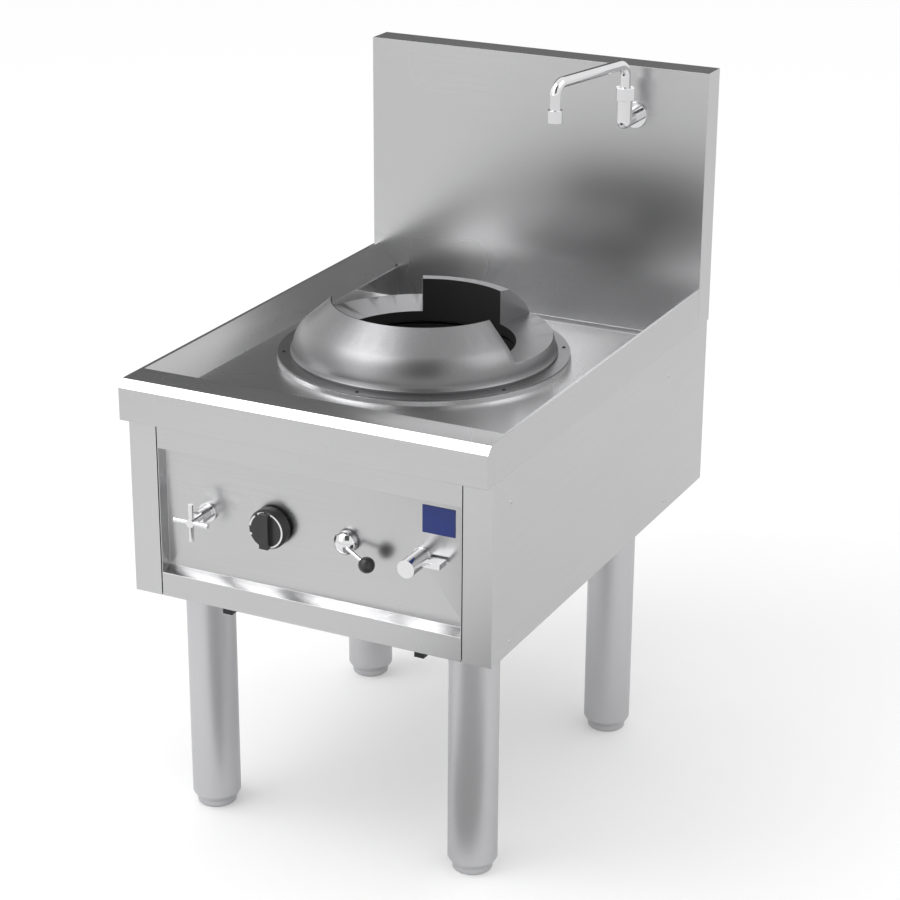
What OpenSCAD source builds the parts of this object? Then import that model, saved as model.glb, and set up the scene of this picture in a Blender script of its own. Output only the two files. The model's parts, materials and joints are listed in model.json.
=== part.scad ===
// Free-standing wok range with one burner, a tall backsplash and a swing spout.
// Millimetres. X runs to the right, the front faces -Y, Z runs up from the floor.

/* [Overall] */
// Width of the worktop
deck_w = 600; // [560:1:680]
// Depth of the worktop with its backsplash
deck_d = 840; // [820:1:900]
// Height of the worktop above the floor
deck_h = 732; // [700:1:800]
// Rise of the backsplash above the worktop
splash_rise = 358; // [320:1:420]
// Thickness of the backsplash box
splash_t = 49; // [44:1:60]

/* [Worktop] */
// Thickness of the stainless sheet
sheet_t = 1.5; // [1.2:0.1:2]
// Height of the apron round the worktop
apron_h = 62; // [58:1:70]
// Size of the slanted front edge
bevel = 11.5; // [8:0.5:14]
// Flat margin between the slanted edge and the pan
front_margin = 50.5; // [40:0.5:60]
// Flat lip at each side of the pan
rim_lip = 6; // [4:0.5:10]
// Depth of the pan below the rim
pan_depth = 36; // [30:1:42]
// Width of the sloping side of the pan
pan_slope_w = 39; // [30:1:45]
// Length of the rear gutter from front to back
gutter_len = 151; // [140:1:156]
// Drop of the gutter below the pan
gutter_drop = 70; // [60:1:80]
// Radius where the gutter's floor turns up into the backsplash
gutter_cove_r = 24; // [20:1:28]

/* [Body] */
// Height of the body below the apron
body_h = 281; // [270:1:300]
// Step of the body behind the apron's front face
body_setback = 21.5; // [18:0.5:24]
// Width of each front corner post
post_w = 46; // [40:1:52]
// Gap between a corner post and the control panel
post_gap = 1.6; // [1:0.1:2.5]
// Depth of the recess in the control panel
recess_d = 20; // [16:0.5:24]
// Height of the rail under the recess
lower_rail_h = 38; // [32:1:44]
// Rise of the slanted ledge at the foot of the recess
ledge_rise = 6; // [3:0.5:10]
// Height of the rail over the recess that shows
upper_rail_h = 43; // [36:1:48]
// Thickness of the base plate
base_t = 3; // [2:0.5:4]

/* [Legs] */
// Diameter of a leg tube
leg_dia = 76; // [70:1:80]
// Wall of a leg tube
leg_wall = 1.5; // [1.2:0.1:2]
// Distance from the worktop's side to the leg axes
leg_side = 74; // [68:1:84]
// Distance from the apron's front face to the front leg axes
leg_front = 116; // [110:1:130]
// Distance from the back to the rear leg axes
leg_rear = 209; // [200:1:218]
// Diameter of a foot
foot_dia = 61; // [56:1:64]
// Height of a foot
foot_h = 10; // [8:1:14]
// Height of the tapered end of a leg
leg_taper_h = 10; // [8:0.5:12]
// Diameter of a foot's threaded stem
foot_stem_dia = 16; // [14:1:20]
// Travel of a foot out of its leg
foot_travel = 30; // [20:1:35]

/* [Wok ring] */
// Distance of the ring's axis behind the middle of the pan
ring_back = 44; // [38:1:48]
// Outer diameter of the flange under the ring
flange_dia = 452; // [444:1:456]
// Thickness of the flange plate
flange_t = 3; // [2.5:0.5:4]
// Height of the flared collar under the flange
collar_h = 7; // [6:0.5:9]
// Flare of the collar at its foot
collar_flare = 1.5; // [1:0.5:8]
// Outer diameter at the foot of the wok ring
ring_dia = 408; // [402:1:414]
// Bore of the wok ring
ring_bore = 284; // [278:1:288]
// Height of the ring's front wall
ring_front_h = 83; // [80:1:90]
// Height of the ring's rear guard
ring_guard_h = 70; // [66:1:74]
// Height of the low seat at the bore
seat_in_h = 16; // [14:1:18]
// Height of the low seat at its outer edge
seat_out_h = 27; // [25:1:30]
// Radius of the ring's shoulder
ring_shoulder_r = 74; // [70:1:78]
// Height of the ring's bead
bead_h = 8; // [6:0.5:10]
// Swell of the ring's bead
bead_out = 3; // [2:0.5:4]
// Start of the front wall, seen from above
front_start_deg = 204; // [198:1:210]
// End of the front wall, seen from above
front_end_deg = 340; // [335:1:345]
// Start of the rear guard, seen from above
guard_start_deg = 60; // [55:1:65]
// End of the rear guard, seen from above
guard_end_deg = 118; // [112:1:124]
// Lift of the loose ring when it is taken off
ring_lift = 120; // [100:1:150]

/* [Burner] */
// Outer diameter of the combustion bowl
bowl_dia = 300; // [294:1:304]
// Depth of the combustion bowl below the pan
bowl_depth = 190; // [170:1:200]
// Wall of the combustion bowl
bowl_wall = 4; // [3:0.5:5]
// Diameter of the burner head
head_dia = 130; // [120:1:140]
// Height of the burner head
head_h = 42; // [36:1:48]
// Diameter of a gas pipe
gas_pipe_dia = 21; // [19:0.5:22]
// Diameter of a water pipe
water_pipe_dia = 15; // [14:0.5:17]
// Diameter of the drain pipe
drain_dia = 40; // [36:1:44]

/* [Controls] */
// Height of the control axes above the body's lower edge
control_rise = 143; // [138:1:148]
// Place of the cross handle to the left, as a share of the recess's half width
tap_share = 0.7137; // [0.69:0.0001:0.74]
// Place of the gas knob to the left, as a share of the recess's half width
knob_share = 0.2646; // [0.24:0.0001:0.29]
// Place of the lever valve to the right, as a share of the recess's half width
lever_share = 0.2326; // [0.21:0.0001:0.26]
// Place of the winged knob to the right, as a share of the recess's half width
wing_share = 0.7177; // [0.7:0.0001:0.73]
// Reach of the cross handle's middle from the panel
tap_reach = 48; // [44:1:52]
// Span of the cross handle
tap_span = 58; // [52:1:62]
// Diameter of the gas knob
knob_dia = 62; // [58:1:66]
// Depth of the gas knob
knob_depth = 25.5; // [24:0.5:32]
// Travel of the gas knob when it is pressed
knob_press = 3; // [2:0.5:4]
// Diameter of the lever valve's boss
boss_dia = 35; // [32:1:38]
// Length of the lever from its axis to the middle of its ball
lever_len = 52; // [46:1:56]
// Slope of the lever below the level at rest
lever_rest_deg = 20; // [10:1:25]
// Lean of the lever towards the front
lever_lean_deg = 17; // [12:1:20]
// Diameter of the lever's ball
ball_dia = 24; // [22:1:26]
// Diameter of the winged knob
wing_knob_dia = 27; // [25:1:30]
// Depth of the winged knob
wing_knob_depth = 52.5; // [48:0.5:54]
// Length of the knob's wing from its axis
wing_len = 40; // [36:1:42]
// Diameter of a control stem
stem_dia = 10; // [8:0.5:11]
// Width of the plain badge plate
badge_w = 52; // [46:1:56]
// Height of the plain badge plate
badge_h = 42; // [38:1:46]
// Margin between the badge plate and the recess's right end
badge_side = 18.4; // [12:0.1:30]
// Thickness of the badge plate
badge_t = 1; // [0.8:0.1:1.5]

/* [Spout] */
// Distance from the worktop's side to the spout's swivel
spout_side = 123; // [110:1:130]
// Distance of the swivel from the backsplash
spout_off = 45; // [40:1:50]
// Height of the spout's arm above the worktop
arm_rise = 371; // [366:1:378]
// Length of the spout's arm
arm_len = 187; // [170:1:200]
// Turn of the arm from straight ahead at rest
arm_rest_deg = 12; // [5:1:20]
// Diameter of the spout's tube
spout_dia = 17; // [15:0.5:18]
// Wall of the spout's tube
spout_wall = 1.5; // [1:0.1:2]
// Radius of the spout's bends
spout_bend_r = 20; // [17:1:24]
// Drop of the nozzle's mouth below the arm
nozzle_drop = 60; // [56:1:66]
// Diameter of the nozzle
nozzle_dia = 23; // [21:0.5:25]
// Height of the nozzle
nozzle_h = 20; // [17:0.5:22]
// Width across the flats of the swivel nut
nut_dia = 32; // [30:1:34]
// Height of the swivel nut
nut_h = 20; // [18:0.5:22]
// Diameter of the swivel's body
swivel_dia = 25; // [24:0.5:26]

/* [Hidden] */
$fn = 96;

// Overrun of a cut past the face it leaves
over = 1;
// Running gap between a turning stem and its bore
run_gap = 0.08;
// Clear gap between faces that move past each other
slip_gap = 0.3;

tap_arm_dia = 8;
// The control that stands furthest forward sets the middle of the depth
proud = max(tap_reach + tap_arm_dia / 2, wing_knob_depth) - body_setback - recess_d;
back_y = (deck_d + max(proud, 0)) / 2;
front_y = back_y - deck_d;
splash_y = back_y - splash_t;
pan_y = front_y + bevel + front_margin;
gutter_y = splash_y - gutter_len;
pan_middle_y = (pan_y + gutter_y) / 2;
apron_z = deck_h - apron_h;
pan_z = deck_h - pan_depth;
pan_half = deck_w / 2 - rim_lip - pan_slope_w;
body_z = apron_z - body_h;
// The body fits inside the apron with a clear gap
body_half = deck_w / 2 - sheet_t - slip_gap;
body_y = front_y + body_setback;
body_back_y = back_y - sheet_t;
body_top_z = deck_h - pan_depth - sheet_t;
gutter_z = pan_z - gutter_drop;
splash_top_z = deck_h + splash_rise;
// The backsplash passes over the body's sides by a small step
splash_step = 3;
splash_foot_z = pan_z + splash_step;

panel_half = body_half - post_w - post_gap;
recess_half = panel_half - sheet_t;
panel_y = body_y + recess_d;
recess_z = body_z + lower_rail_h;
recess_top_z = apron_z - upper_rail_h;
control_z = body_z + control_rise;

ring_cy = pan_middle_y + ring_back;
collar_z = pan_z + collar_h;
flange_z = collar_z + flange_t;
bowl_lip = 8;
bowl_lip_t = 3;
bowl_r = bowl_dia / 2;
bowl_hole_r = bowl_r + sheet_t;
bowl_z = pan_z - bowl_depth;
flange_bore_r = ring_bore / 2 + bowl_wall;

// Flange bolts
bolt_n = 6;
bolt_inset = 9;
bolt_dia = 4;
bolt_head_dia = 6;
bolt_head_h = 1;
bolt_ring_r = flange_dia / 2 - bolt_inset;

// Side screws, placed from the front, the back, the body's foot and its top
screw_front = 80;
screw_back = 169;
screw_low = 18;
screw_top = 47;
screw_ys = [front_y + screw_front, back_y - screw_back];
screw_zs = [body_z + screw_low, apron_z - screw_top];
screw_dia = 7;
screw_head_t = 1;

// Small fittings
tap_hub_dia = 13;
tap_body_dia = 22;
tap_body_len = 24;
tap_cap_dia = 10;
knob_grip_w = 15;
knob_grip_h = 8;
knob_skirt_h = 12;
knob_face_share = 0.9;
bezel_dia = 50;
bezel_t = 2;
badge_top_share = 0.075;
boss_len = 8;
boss_dome_h = 10;
lever_rod_dia = 6;
wing_t = 8;
wing_width = 22;
wing_collar_dia = 22;
valve_body_dia = 34;
valve_len = 44;
valve_nut_dia = 30;
valve_nut_h = 4;
gas_valve_w = 46;
gas_valve_h = 52;

// Pipes
pipe_wall = 1.5;
inlet_len = 28;
inlet_nut_h = 14;
inlet_nut_wall = 4;
inlet_back = 60;
inlet_side = 108.2;
supply_x = body_half - inlet_side;
water_inlet_x = -supply_x;
supply_z_share = 0.3;
supply_z = body_z + body_h * supply_z_share;
inlet_y = body_back_y - inlet_back;
feed_side = 57.5;
drain_tail_len = 40;
drain_nut_h = 20;
drain_x = 0;
drain_y = gutter_y + drain_dia;
burner_pipe_rise = 38;
stem_bottom_z = body_z + base_t + burner_pipe_rise;
head_z = bowl_z + bowl_wall;

// Controls
tap_x = -recess_half * tap_share;
knob_x = -recess_half * knob_share;
lever_x = recess_half * lever_share;
wing_x = recess_half * wing_share;
neck_dia = stem_dia + 2 * run_gap + 2 * pipe_wall;
stem_hole_dia = neck_dia + 2 * run_gap;
stem_in = 20;
valve_back_y = panel_y + sheet_t + valve_nut_h + valve_len;
valve_mid_y = valve_back_y - valve_len / 2;
// The knob stands off its bezel by the travel of its press
knob_back_y = panel_y - bezel_t - knob_press - slip_gap;
knob_face_y = knob_back_y - knob_depth;
// The lever's boss and the two other handles stand clear of their valves' nuts
handle_y = panel_y - valve_nut_h - slip_gap;
lever_y = handle_y - boss_len - lever_rod_dia / 2;

// Spout
spout_x = deck_w / 2 - spout_side;
spout_cy = splash_y - spout_off;
arm_z = deck_h + arm_rise;
nut_top_drop = 38;
swivel_drop = 34;
swivel_in = nut_top_drop + nut_h + swivel_drop / 2;
swivel_top_z = arm_z - nut_top_drop - nut_h;
swivel_base_z = swivel_top_z - swivel_drop;
nozzle_top_drop = nozzle_drop - nozzle_h / 2;
rosette_dia = 42;
rosette_t = 4;

// Feet
foot_stem_len = 46;
plug_len = 24;
socket_len = 40;
foot_edge = 2;

leg_x = deck_w / 2 - leg_side;
leg_y1 = front_y + leg_front;
leg_y2 = back_y - leg_rear;
leg_places = [[-leg_x, leg_y1], [leg_x, leg_y1], [-leg_x, leg_y2], [leg_x, leg_y2]];
leg_end_z = foot_h + leg_taper_h;

// Wok ring: its shoulder is an arc that leans in from its foot and runs into a straight cone
shoulder_from = 8;
shoulder_to = 46;
shoulder_steps = 10;
shoulder_cx = ring_dia / 2 - ring_shoulder_r * cos(shoulder_from);
shoulder_cz = bead_h - ring_shoulder_r * sin(shoulder_from);
function shoulder_point(a) = [shoulder_cx + ring_shoulder_r * cos(a), shoulder_cz + ring_shoulder_r * sin(a)];
shoulder = [for (i = [0 : shoulder_steps])
    shoulder_point(shoulder_from + (shoulder_to - shoulder_from) * i / shoulder_steps)];

// Drip tray clips
clip_side = 135.5;
clip_w = 16;
clip_t = 2;
clip_drop = 30;
clip_back = 40;
clip_len = 22;

steel = "#b9babb";
dark_iron = "#3a3b3d";
chrome = "#dcdddf";
brass = "#b08d4c";
copper = "#b5764a";

// An outline in Y and Z, drawn out along X from one place to another
module along_x(from_x, to_x)
    translate([from_x, 0, 0])
        rotate([90, 0, 90])
            linear_extrude(height = to_x - from_x) children();

// An outline in X and Z, drawn out along Y from one place to another
module along_y(from_y, to_y)
    translate([0, to_y, 0])
        rotate([90, 0, 0])
            linear_extrude(height = to_y - from_y) children();

// A block between two corners
module block(low, high)
    translate(low) cube(high - low);

// A rod along Y
module rod_y(x, from_y, to_y, z, dia)
    translate([x, from_y, z])
        rotate([-90, 0, 0])
            cylinder(d = dia, h = to_y - from_y);

// A rod along X
module rod_x(from_x, to_x, y, z, dia)
    translate([from_x, y, z])
        rotate([0, 90, 0])
            cylinder(d = dia, h = to_x - from_x);

// A rod along Z
module rod_z(x, y, from_z, to_z, dia)
    translate([x, y, from_z]) cylinder(d = dia, h = to_z - from_z);

// The sheet outline across one side of the worktop, from its apron to the pan
module side_outline(side)
    polygon([for (p = [
        [deck_w / 2, apron_z],
        [deck_w / 2, deck_h],
        [deck_w / 2 - rim_lip, deck_h],
        [pan_half, pan_z],
        [pan_half, pan_z - sheet_t],
        [deck_w / 2 - rim_lip, deck_h - sheet_t],
        [deck_w / 2 - sheet_t, deck_h - sheet_t],
        [deck_w / 2 - sheet_t, apron_z]]) [side * p[0], p[1]]]);

// The slanted front edge and the flat margin, from the apron's foot to the pan
module front_outline()
    polygon([
        [front_y, apron_z],
        [front_y, deck_h - bevel],
        [front_y + bevel, deck_h],
        [pan_y, deck_h],
        [pan_y, deck_h - sheet_t],
        [front_y + bevel + sheet_t / 2, deck_h - sheet_t],
        [front_y + sheet_t, deck_h - bevel - sheet_t / 2],
        [front_y + sheet_t, apron_z]]);

// The pan's front wall, between its two slopes
module pan_wall_outline()
    polygon([
        [-pan_half, pan_z - sheet_t],
        [pan_half, pan_z - sheet_t],
        [deck_w / 2 - rim_lip, deck_h - sheet_t],
        [rim_lip - deck_w / 2, deck_h - sheet_t]]);

// The apron's end at one side of the front margin
module front_end_outline()
    polygon([
        [front_y, apron_z],
        [front_y, deck_h - bevel],
        [front_y + bevel, deck_h],
        [pan_y, deck_h],
        [pan_y, apron_z]]);

module worktop() {
    color(steel) {
        for (side = [-1, 1])
            along_y(pan_y, splash_y) side_outline(side);
        difference() {
            block([-pan_half, pan_y, pan_z - sheet_t], [pan_half, gutter_y, pan_z]);
            rod_z(0, ring_cy, pan_z - sheet_t - over, pan_z + over, 2 * bowl_hole_r);
        }
        along_x(-deck_w / 2, deck_w / 2) front_outline();
        along_y(pan_y - sheet_t, pan_y) pan_wall_outline();
        for (side = [-1, 1])
            along_x(side * (deck_w - sheet_t) / 2 - sheet_t / 2, side * (deck_w - sheet_t) / 2 + sheet_t / 2)
                front_end_outline();
    }
}

// The gutter's profile: a front wall and a floor
module gutter_outline() {
    floor_end_y = splash_y - gutter_cove_r;
    translate([gutter_y, gutter_z - sheet_t]) square([sheet_t, gutter_drop + sheet_t]);
    translate([gutter_y, gutter_z - sheet_t]) square([floor_end_y - gutter_y, sheet_t]);
}

module rear_gutter() {
    end_half = pan_half - sheet_t / 2;
    color(steel)
        difference() {
            union() {
                along_x(-pan_half + sheet_t, pan_half - sheet_t) gutter_outline();
                for (side = [-1, 1])
                    along_x(side * end_half - sheet_t / 2, side * end_half + sheet_t / 2)
                        polygon([
                            [gutter_y, gutter_z - sheet_t],
                            [gutter_y, pan_z],
                            [splash_y, pan_z],
                            [splash_y, gutter_z - sheet_t]]);
            }
            rod_z(drain_x, drain_y, gutter_z - sheet_t - over, gutter_z + over, drain_dia - 2 * pipe_wall);
        }
}

// The gutter's coved back, where it rises into the backsplash
module gutter_cove() {
    cove_y = splash_y - gutter_cove_r;
    color(steel)
        along_x(-pan_half + sheet_t, pan_half - sheet_t)
            intersection() {
                translate([cove_y, gutter_z + gutter_cove_r])
                    difference() {
                        circle(r = gutter_cove_r + sheet_t);
                        circle(r = gutter_cove_r);
                    }
                translate([cove_y, gutter_z - sheet_t]) square(gutter_cove_r + sheet_t);
            }
}

module gutter_strainer() {
    cup_depth = drain_dia / 4;
    strainer_dia = drain_dia - 4 * pipe_wall;
    hole_n = 8;
    hole_share = 0.31;
    color(steel)
        translate([drain_x, drain_y, gutter_z])
            difference() {
                union() {
                    cylinder(d = drain_dia + 2 * pipe_wall, h = pipe_wall);
                    translate([0, 0, -cup_depth]) cylinder(d = strainer_dia, h = cup_depth);
                }
                translate([0, 0, -cup_depth + pipe_wall])
                    cylinder(d = strainer_dia - 2 * pipe_wall, h = cup_depth + over);
                for (i = [0 : hole_n - 1])
                    rotate(i * 360 / hole_n)
                        translate([strainer_dia * hole_share, 0, -cup_depth - over])
                            cylinder(d = 2 * pipe_wall, h = pipe_wall + 2 * over);
            }
}

module splash_front() {
    color(steel)
        difference() {
            union() {
                block([-deck_w / 2, splash_y, splash_foot_z],
                    [deck_w / 2, splash_y + sheet_t, splash_top_z]);
                block([-pan_half, splash_y, gutter_z + gutter_cove_r],
                    [pan_half, splash_y + sheet_t, splash_foot_z]);
                for (x = [-deck_w / 2, deck_w / 2 - sheet_t])
                    block([x, splash_y, apron_z], [x + sheet_t, splash_y + sheet_t, splash_foot_z]);
            }
            rod_y(spout_x, splash_y - over, splash_y + sheet_t + over, swivel_base_z, water_pipe_dia + 2 * run_gap);
        }
}

module splash_shell() {
    inner_half = deck_w / 2 - sheet_t;
    color(steel)
        difference() {
            block([-deck_w / 2, splash_y + sheet_t, apron_z], [deck_w / 2, back_y, splash_top_z]);
            block([-inner_half, splash_y, apron_z - over], [inner_half, back_y - sheet_t, splash_top_z - sheet_t]);
        }
}

// A body side: one sheet bent in at the front post and at the back
module side_panel(side) {
    rear_return = post_w / 2;
    lip_z = deck_h - sheet_t;
    color(steel) {
        difference() {
            along_x(side * (body_half - sheet_t / 2) - sheet_t / 2, side * (body_half - sheet_t / 2) + sheet_t / 2)
                polygon([
                    [body_y, body_z],
                    [body_y, lip_z],
                    [splash_y, lip_z],
                    [splash_y, body_top_z],
                    [body_back_y, body_top_z],
                    [body_back_y, body_z]]);
            for (y = screw_ys, z = screw_zs)
                rod_x(side * body_half - sheet_t - over, side * body_half + sheet_t + over, y, z,
                    screw_dia / 2 + 2 * run_gap);
        }
        block([side > 0 ? body_half - post_w : sheet_t - body_half, body_y, body_z],
            [side > 0 ? body_half - sheet_t : post_w - body_half, body_y + sheet_t, lip_z]);
        block([side > 0 ? body_half - rear_return : sheet_t - body_half, body_back_y - sheet_t, body_z],
            [side > 0 ? body_half - sheet_t : rear_return - body_half, body_back_y, body_top_z]);
    }
}

module back_panel() {
    back_half = body_half - sheet_t;
    color(steel)
        block([-back_half, body_back_y - 2 * sheet_t, body_z + base_t],
            [back_half, body_back_y - sheet_t, body_top_z]);
}

module base_plate() {
    base_half = body_half - sheet_t;
    color(steel)
        difference() {
            block([-base_half, body_y + sheet_t, body_z], [base_half, body_back_y - sheet_t, body_z + base_t]);
            rod_z(0, ring_cy, body_z - over, body_z + base_t + over, head_dia);
            rod_z(drain_x, drain_y, body_z - over, body_z + base_t + over, drain_dia + 2 * slip_gap);
            rod_z(supply_x, inlet_y, body_z - over, body_z + base_t + over, gas_pipe_dia + 2 * slip_gap);
            rod_z(water_inlet_x, inlet_y, body_z - over, body_z + base_t + over, water_pipe_dia + 2 * slip_gap);
            for (p = leg_places)
                rod_z(p[0], p[1], body_z - over, body_z + base_t + over, foot_stem_dia / 2);
        }
}

// The control panel: one sheet bent round a recess, with a flange at each side
module control_panel() {
    top_z = deck_h - sheet_t;
    color(steel)
        difference() {
            union() {
                along_x(-recess_half, recess_half)
                    polygon([
                        [body_y, body_z],
                        [body_y, recess_z],
                        [panel_y, recess_z + ledge_rise],
                        [panel_y, recess_top_z],
                        [body_y, recess_top_z],
                        [body_y, top_z],
                        [body_y + sheet_t, top_z],
                        [body_y + sheet_t, recess_top_z + sheet_t],
                        [panel_y + sheet_t, recess_top_z + sheet_t],
                        [panel_y + sheet_t, recess_z + ledge_rise - sheet_t],
                        [body_y + sheet_t, recess_z - sheet_t],
                        [body_y + sheet_t, body_z]]);
                for (side = [-1, 1])
                    block([side > 0 ? recess_half : -panel_half, body_y, body_z + base_t],
                        [side > 0 ? panel_half : -recess_half, panel_y + sheet_t, top_z]);
            }
            for (x = [tap_x, knob_x, lever_x, wing_x])
                rod_y(x, panel_y - over, panel_y + sheet_t + over, control_z, stem_hole_dia);
        }
}

module badge_plate() {
    badge_right = recess_half - badge_side;
    top_z = recess_top_z - (recess_top_z - recess_z) * badge_top_share;
    color("#12418f")
        block([badge_right - badge_w, panel_y - badge_t, top_z - badge_h], [badge_right, panel_y, top_z]);
}

module side_screws() {
    color(steel)
        for (side = [-1, 1], y = screw_ys, z = screw_zs)
            translate([side * body_half, y, z])
                rotate([0, side * 90, 0]) {
                    cylinder(d = screw_dia, h = screw_head_t);
                    translate([0, 0, -sheet_t]) cylinder(d = screw_dia / 2, h = sheet_t);
                }
}

module leg_sockets() {
    socket_wall = 3;
    socket_dia = leg_dia - 2 * leg_wall - 2 * run_gap;
    color(steel)
        for (p = leg_places)
            difference() {
                rod_z(p[0], p[1], body_z - socket_len, body_z, socket_dia);
                rod_z(p[0], p[1], body_z - socket_len - over, body_z - socket_wall, socket_dia - 2 * socket_wall);
                rod_z(p[0], p[1], body_z - socket_len, body_z + over, foot_stem_dia / 2);
            }
}

module leg(place) {
    color(steel)
        difference() {
            rod_z(place[0], place[1], leg_end_z, body_z, leg_dia);
            rod_z(place[0], place[1], leg_end_z - over, body_z + over, leg_dia - 2 * leg_wall);
        }
}

// The tapered plug pressed into the foot of each leg, with a threaded bore
module leg_plugs() {
    color(steel)
        for (p = leg_places)
            difference() {
                union() {
                    rod_z(p[0], p[1], leg_end_z, leg_end_z + plug_len, leg_dia - 2 * leg_wall - 2 * run_gap);
                    translate([p[0], p[1], foot_h + slip_gap])
                        cylinder(d1 = foot_dia + 2 * leg_wall, d2 = leg_dia, h = leg_taper_h - slip_gap);
                }
                rod_z(p[0], p[1], foot_h - over, leg_end_z + plug_len + over, foot_stem_dia + 2 * run_gap);
            }
}

module foot(place) {
    color(steel) {
        translate([place[0], place[1], 0]) cylinder(d1 = foot_dia - 2 * foot_edge, d2 = foot_dia, h = foot_edge);
        rod_z(place[0], place[1], foot_edge, foot_h, foot_dia);
        rod_z(place[0], place[1], foot_h, foot_h + foot_stem_len, foot_stem_dia);
    }
}

module burner_collar() {
    color(steel)
        translate([0, ring_cy, pan_z])
            difference() {
                cylinder(r1 = flange_dia / 2 + collar_flare, r2 = flange_dia / 2, h = collar_h);
                translate([0, 0, -over]) cylinder(r = bowl_r + bowl_lip, h = collar_h + 2 * over);
                for (i = [0 : bolt_n - 1])
                    rotate(i * 360 / bolt_n + 180 / bolt_n)
                        translate([bolt_ring_r, 0, 0])
                            cylinder(d = bolt_dia + 2 * run_gap, h = collar_h + over);
            }
}

module ring_flange() {
    color(steel)
        translate([0, ring_cy, collar_z])
            difference() {
                cylinder(d = flange_dia, h = flange_t);
                translate([0, 0, -over]) cylinder(r = flange_bore_r, h = flange_t + 2 * over);
                for (i = [0 : bolt_n - 1])
                    rotate(i * 360 / bolt_n + 180 / bolt_n)
                        translate([bolt_ring_r, 0, -over])
                            cylinder(d = bolt_dia + 2 * run_gap, h = flange_t + 2 * over);
            }
}

module flange_bolts() {
    color(dark_iron)
        for (i = [0 : bolt_n - 1])
            translate([0, ring_cy, 0])
                rotate(i * 360 / bolt_n + 180 / bolt_n)
                    translate([bolt_ring_r, 0, 0]) {
                        translate([0, 0, pan_z]) cylinder(d = bolt_dia, h = flange_z - pan_z);
                        translate([0, 0, flange_z]) cylinder(d = bolt_head_dia, h = bolt_head_h);
                    }
}

// The ring's full outline from its bore to its outer face
module ring_outline()
    polygon(concat(
        [[ring_bore / 2, 0], [ring_dia / 2 + bead_out, 0], [ring_dia / 2 + bead_out, bead_h / 2]],
        shoulder,
        [[ring_bore / 2 + bead_out / 2, ring_front_h], [ring_bore / 2, ring_front_h]]));

// What is cut away over the low seat, whose floor rises outward
module over_seat_outline() {
    seat_slope = (seat_out_h - seat_in_h) / (ring_dia / 2 - bead_out - ring_bore / 2);
    r0 = ring_bore / 2 - bead_out;
    r1 = ring_dia / 2 + bead_out;
    polygon([
        [r0, seat_in_h - bead_out * seat_slope],
        [r1, seat_in_h + (r1 - ring_bore / 2) * seat_slope],
        [r1, ring_front_h + bead_out],
        [r0, ring_front_h + bead_out]]);
}

module wok_ring() {
    lap_deg = 4;
    left_gap_deg = front_start_deg - guard_end_deg;
    right_gap_deg = guard_start_deg + 360 - front_end_deg;
    guard_deg = guard_end_deg - guard_start_deg;
    color("#77797c")
        translate([0, ring_cy, flange_z])
            difference() {
                rotate_extrude() ring_outline();
                rotate(guard_end_deg) rotate_extrude(angle = left_gap_deg) over_seat_outline();
                rotate(front_end_deg) rotate_extrude(angle = right_gap_deg) over_seat_outline();
                rotate(guard_start_deg - lap_deg)
                    rotate_extrude(angle = guard_deg + 2 * lap_deg)
                        translate([ring_bore / 2 - bead_out, ring_guard_h])
                            square([ring_dia / 2, ring_front_h]);
            }
}

// The bowl is a tube that hangs in the pan's hole, with a floor ring and a rim on the pan
module combustion_bowl()
    color(dark_iron)
        translate([0, ring_cy, 0])
            difference() {
                rod_z(0, 0, head_z, pan_z, bowl_dia);
                rod_z(0, 0, head_z - over, pan_z + over, bowl_dia - 2 * bowl_wall);
            }

module bowl_floor()
    color(dark_iron)
        translate([0, ring_cy, 0])
            difference() {
                rod_z(0, 0, bowl_z, head_z, bowl_dia);
                rod_z(0, 0, bowl_z - over, head_z + over, head_dia + bowl_wall);
            }

module bowl_rim()
    color(dark_iron)
        translate([0, ring_cy, 0])
            difference() {
                rod_z(0, 0, pan_z, pan_z + bowl_lip_t, bowl_dia + 2 * bowl_lip - 2 * slip_gap);
                rod_z(0, 0, pan_z - over, pan_z + bowl_lip_t + over, bowl_dia - 2 * bowl_wall);
            }

module burner_head() {
    port_n = 24;
    port_dia = 6;
    port_share = 0.38;
    crown_share = 0.67;
    base_h = head_h * crown_share;
    color(dark_iron)
        translate([0, ring_cy, head_z])
            difference() {
                union() {
                    cylinder(d = head_dia, h = base_h);
                    translate([0, 0, base_h])
                        cylinder(d1 = head_dia, d2 = head_dia * crown_share, h = head_h - base_h);
                }
                translate([0, 0, -over]) cylinder(d = head_dia - 4 * bowl_wall, h = head_h / 2 + over);
                for (i = [0 : port_n - 1])
                    rotate(i * 360 / port_n)
                        translate([head_dia * port_share, 0, head_h / 2 - over])
                            cylinder(d = port_dia, h = head_h);
            }
}

module burner_stem() {
    venturi_dia = gas_pipe_dia * 2;
    color(dark_iron)
        translate([0, ring_cy, 0])
            difference() {
                union() {
                    rod_z(0, 0, stem_bottom_z + gas_pipe_dia, head_z, venturi_dia);
                    rod_z(0, 0, stem_bottom_z + gas_pipe_dia, stem_bottom_z + gas_pipe_dia + bowl_wall, head_dia / 2);
                    rod_z(0, 0, head_z - bowl_wall, head_z, head_dia);
                }
                rod_z(0, 0, stem_bottom_z + gas_pipe_dia + bowl_wall, head_z + over, venturi_dia - 2 * bowl_wall);
            }
}

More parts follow.
